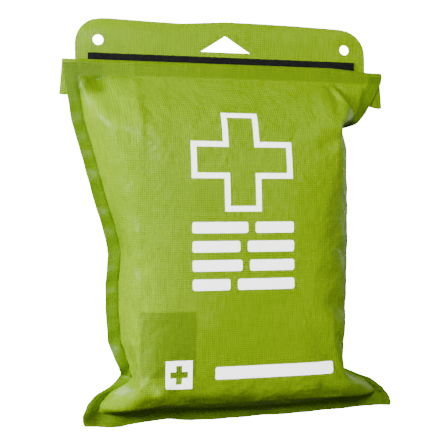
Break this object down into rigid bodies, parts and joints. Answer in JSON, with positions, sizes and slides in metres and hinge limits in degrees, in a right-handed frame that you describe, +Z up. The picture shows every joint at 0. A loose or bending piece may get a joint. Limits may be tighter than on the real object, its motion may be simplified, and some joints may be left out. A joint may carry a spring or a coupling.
{
  "type": "first aid kit",
  "caption": "Waterproof welded fabric pouch with a Z-folded hook and loop closure and a hanging header, packed with bandages, dressings, a leaflet, scissors and tweezers.",
  "frame": {"origin": "midway between the header's two eyelets, on the header's front face", "axes": "+Z up, towards the header's top edge; +X to the right as seen from the printed front; +Y from the printed front to the plain back"},
  "size_m": [0.16, 0.0376, 0.192],
  "materials": {
    "ripstop_front": "thin coated ripstop, lime green, satin",
    "ripstop_back": "thin coated ripstop, lime green, satin",
    "hook_tape": "black hook tape",
    "loop_tape": "black loop tape",
    "white_print": "white transfer film",
    "gauze": "woven cotton gauze",
    "tape_cloth": "zinc oxide cloth tape",
    "spool_plastic": "white moulded spool",
    "steel": "satin stainless steel",
    "leaflet_paper": "folded printing paper",
    "sachet_paper": "peel-open paper and film",
    "pack_film": "clear flow wrap over white cotton",
    "blanket_foil": "gold and silver foil in a clear bag",
    "glove_vinyl": "blue vinyl in a clear bag"
  },
  "bodies": {
    "header": {"header_tab": "ripstop_back", "hook_strip": "hook_tape", "header_fold": "ripstop_back"},
    "mouth_flap": {"mouth_lip_back": "ripstop_back", "mouth_lip_front": "ripstop_front", "loop_strip": "loop_tape"},
    "pouch": {"front_panel": "ripstop_front", "back_panel": "ripstop_back", "mouth_fold_back": "ripstop_back", "mouth_fold_front": "ripstop_front", "cross_print": "white_print", "caption_bars": "white_print", "foot_print": "white_print", "instruction_leaflet": "leaflet_paper", "scissor_half_back": "steel", "scissor_rivet": "steel", "tweezers": "steel", "gauze_bandage_short": "gauze", "gauze_bandage_long": "gauze", "tape_roll": "tape_cloth", "tape_spool": "spool_plastic", "wound_dressing": "pack_film", "triangular_bandage": "pack_film", "rescue_blanket": "blanket_foil", "glove_pack": "glove_vinyl", "compress_sachets": "sachet_paper", "plaster_sachets": "sachet_paper", "cleansing_wipes": "sachet_paper"},
    "scissor_blade": {"scissor_half_front": "steel"}
  },
  "joints": [
    {"name": "header_hinge", "type": "hinge", "parent": "header", "child": "mouth_flap", "pos_m": [0, -0.00155, -0.027], "axis": [1, 0, 0], "range_deg": [0, 180], "deforming": ["header_fold"]},
    {"name": "mouth_hinge", "type": "hinge", "parent": "mouth_flap", "child": "pouch", "pos_m": [0, -0.0047, -0.0125], "axis": [1, 0, 0], "range_deg": [-180, 0], "deforming": ["mouth_fold_back", "mouth_fold_front"]},
    {"name": "scissors_pivot", "type": "hinge", "parent": "pouch", "child": "scissor_blade", "pos_m": [0, -0.0212, -0.1093], "axis": [0, 1, 0], "range_deg": [0, 55]}
  ],
  "couplings": [
    {"joint": "mouth_hinge", "follows": "header_hinge", "ratio": -1}
  ]
}
